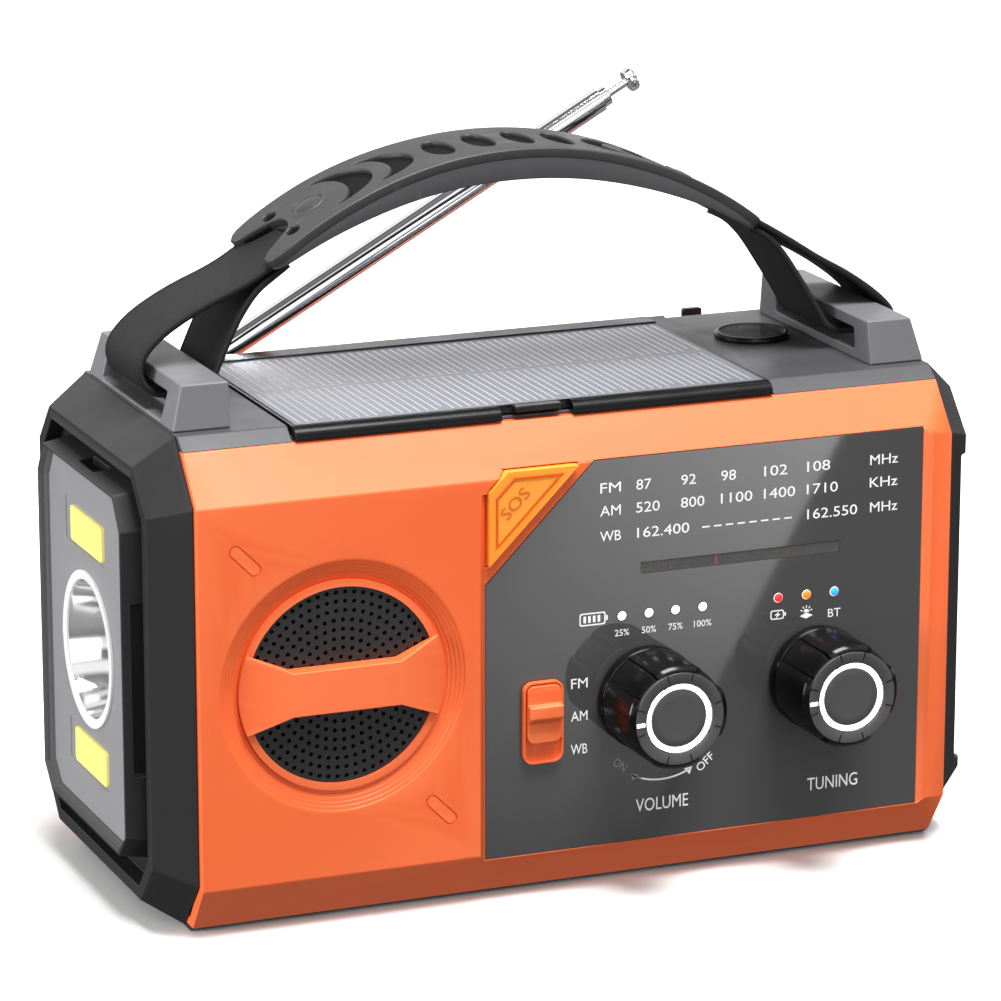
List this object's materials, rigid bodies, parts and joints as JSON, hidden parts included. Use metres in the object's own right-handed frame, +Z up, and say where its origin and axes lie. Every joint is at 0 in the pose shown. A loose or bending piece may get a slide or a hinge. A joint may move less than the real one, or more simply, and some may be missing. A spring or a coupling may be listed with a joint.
{
  "type": "emergency radio",
  "caption": "Portable emergency radio with folding telescopic antenna, solar lid, hand-crank dynamo, end torch, tuning and volume knobs, speaker and strap handle.",
  "frame": {"origin": "centre of the underside, on the plane the rubber feet stand on", "axes": "+X runs along the body away from the torch end, the dial side faces -Y, +Z is up"},
  "size_m": [0.2099, 0.122, 0.1792],
  "materials": {
    "orange_shell": "satin orange moulding",
    "orange_button": "satin light orange moulding",
    "dark_frame": "dark grey satin moulding",
    "grey_cover": "grey satin moulding",
    "black_trim": "black fine-textured moulding",
    "dial_film": "printed dark grey panel",
    "clear_window": "clear window",
    "knob_gloss": "black gloss with a white light ring",
    "led_lenses": "clear and coloured light pipes",
    "lamp_emitters": "yellow phosphor",
    "reflector": "metallised",
    "lamp_plate_grey": "light grey satin",
    "webbing": "woven nylon webbing",
    "rubber_grip": "moulded rubber",
    "chrome_tube": "polished",
    "steel": "plain",
    "solar": "laminated silicon cells",
    "grille_steel": "black perforated sheet",
    "cone_paper": "black cone",
    "board_green": "circuit board",
    "cell_wrap": "shrink-wrapped cells",
    "compass_face": "printed card",
    "rubber_black": "soft rubber",
    "white_plastic": "white"
  },
  "bodies": {
    "casing": {"front_shell": "orange_shell", "rear_shell": "orange_shell", "top_cover": "grey_cover", "base_plate": "dark_frame", "rubber_feet": "rubber_black", "left_end_frame": "dark_frame", "lamp_bezel": "dark_frame", "lamp_window": "clear_window", "lamp_plate": "lamp_plate_grey", "torch_reflector": "reflector", "lamp_leds": "lamp_emitters", "right_end_frame": "dark_frame", "right_end_cover": "dark_frame", "dial_panel": "dial_film", "tuning_window": "clear_window", "indicator_leds": "led_lenses", "switch_bezel": "orange_shell", "volume_control": "steel", "tuning_capacitor": "white_plastic", "needle_rail": "steel", "speaker_grille": "grille_steel", "speaker_frame": "steel", "speaker_cone": "cone_paper", "main_board": "board_green", "battery_cells": "cell_wrap", "socket_block": "black_trim", "reading_lamp": "white_plastic", "lid_hinge_pin": "steel", "compass_cup": "black_trim", "compass_lens": "clear_window", "left_anchor": "grey_cover", "right_anchor": "grey_cover", "left_strap": "webbing", "right_strap": "webbing", "handle_grip": "rubber_grip", "grip_rivets": "rubber_grip", "antenna_mounts": "black_trim", "dynamo": "steel", "case_screws": "steel"},
    "volume": {"volume_knob": "knob_gloss", "volume_spindle": "steel"},
    "tuning": {"tuning_knob": "knob_gloss", "tuning_spindle": "steel"},
    "needle": {"tuning_needle": "orange_button"},
    "band_switch": {"band_slider": "orange_shell"},
    "sos": {"sos_button": "orange_button"},
    "torch_switch": {"torch_button": "orange_button"},
    "lid": {"solar_lid": "black_trim", "solar_cell": "solar"},
    "compass": {"compass_card": "compass_face"},
    "swivel": {"antenna_swivel": "chrome_tube"},
    "mast": {"antenna_mast": "chrome_tube"},
    "middle_tube": {"antenna_middle_tube": "chrome_tube"},
    "tip": {"antenna_tip": "chrome_tube"},
    "crank": {"crank_arm": "black_trim", "crank_gear": "white_plastic"},
    "pinion": {"dynamo_pinion": "white_plastic"},
    "crank_post": {"crank_knob_post": "steel"},
    "crank_grip": {"crank_knob": "black_trim"},
    "flap": {"socket_flap": "rubber_black"}
  },
  "joints": [
    {"name": "volume_turn", "type": "hinge", "parent": "casing", "child": "volume", "pos_m": [0.016, -0.055, 0.0465], "axis": [0, 1, 0], "range_deg": [-60, 240]},
    {"name": "tuning_turn", "type": "hinge", "parent": "casing", "child": "tuning", "pos_m": [0.0602, -0.055, 0.0465], "axis": [0, 1, 0], "range_deg": [-200, 330]},
    {"name": "tuning_needle", "type": "slide", "parent": "casing", "child": "needle", "axis": [1, 0, 0], "range_m": [-0.0187, 0.0307]},
    {"name": "band_slide", "type": "slide", "parent": "casing", "child": "band_switch", "axis": [0, 0, -1], "range_m": [0, 0.0046]},
    {"name": "sos_press", "type": "slide", "parent": "casing", "child": "sos", "axis": [0, 1, 0], "range_m": [0, 0.001], "stiffness_N_per_m": 400, "springref_m": -0.0003},
    {"name": "torch_press", "type": "slide", "parent": "casing", "child": "torch_switch", "axis": [0, -1, 0], "range_m": [0, 0.0012], "stiffness_N_per_m": 400, "springref_m": -0.0003},
    {"name": "lid_lift", "type": "hinge", "parent": "casing", "child": "lid", "pos_m": [0, 0.0356, 0.11615], "axis": [-1, 0, 0], "range_deg": [0, 25]},
    {"name": "compass_turn", "type": "hinge", "parent": "casing", "child": "compass", "pos_m": [0.0677, 0.0077, 0.114], "axis": [0, 0, 1], "continuous": true},
    {"name": "antenna_swivel_turn", "type": "hinge", "parent": "casing", "child": "swivel", "pos_m": [-0.075, 0.042, 0.107], "axis": [0, -1, 0], "range_deg": [-29.05, 75.9]},
    {"name": "antenna_tilt", "type": "hinge", "parent": "swivel", "child": "mast", "pos_m": [-0.06713, 0.042, 0.11137], "axis": [-0.4856, 0, 0.8742], "range_deg": [0, 60]},
    {"name": "antenna_middle_slide", "type": "slide", "parent": "mast", "child": "middle_tube", "axis": [0.8742, 0, 0.4856], "range_m": [0, 0.1]},
    {"name": "antenna_tip_slide", "type": "slide", "parent": "middle_tube", "child": "tip", "axis": [0.8742, 0, 0.4856], "range_m": [0, 0.098]},
    {"name": "crank_turn", "type": "hinge", "parent": "casing", "child": "crank", "pos_m": [0.022, 0.05, 0.056], "axis": [0, 1, 0], "continuous": true},
    {"name": "pinion_turn", "type": "hinge", "parent": "casing", "child": "pinion", "pos_m": [0.022, 0.026, 0.031], "axis": [0, 1, 0], "continuous": true},
    {"name": "crank_post_fold", "type": "hinge", "parent": "crank", "child": "crank_post", "pos_m": [-0.02, 0.052, 0.056], "axis": [0, 0, 1], "range_deg": [0, 90]},
    {"name": "crank_knob_turn", "type": "hinge", "parent": "crank_post", "child": "crank_grip", "pos_m": [-0.01, 0.052, 0.056], "axis": [1, 0, 0], "continuous": true},
    {"name": "flap_open", "type": "hinge", "parent": "casing", "child": "flap", "pos_m": [-0.056, 0.0488, 0.0188], "axis": [-1, 0, 0], "range_deg": [0, 100]}
  ],
  "couplings": [
    {"joint": "tuning_needle", "follows": "tuning_turn", "m_per_rad": 0.0052415},
    {"joint": "pinion_turn", "follows": "crank_turn", "ratio": -4}
  ]
}
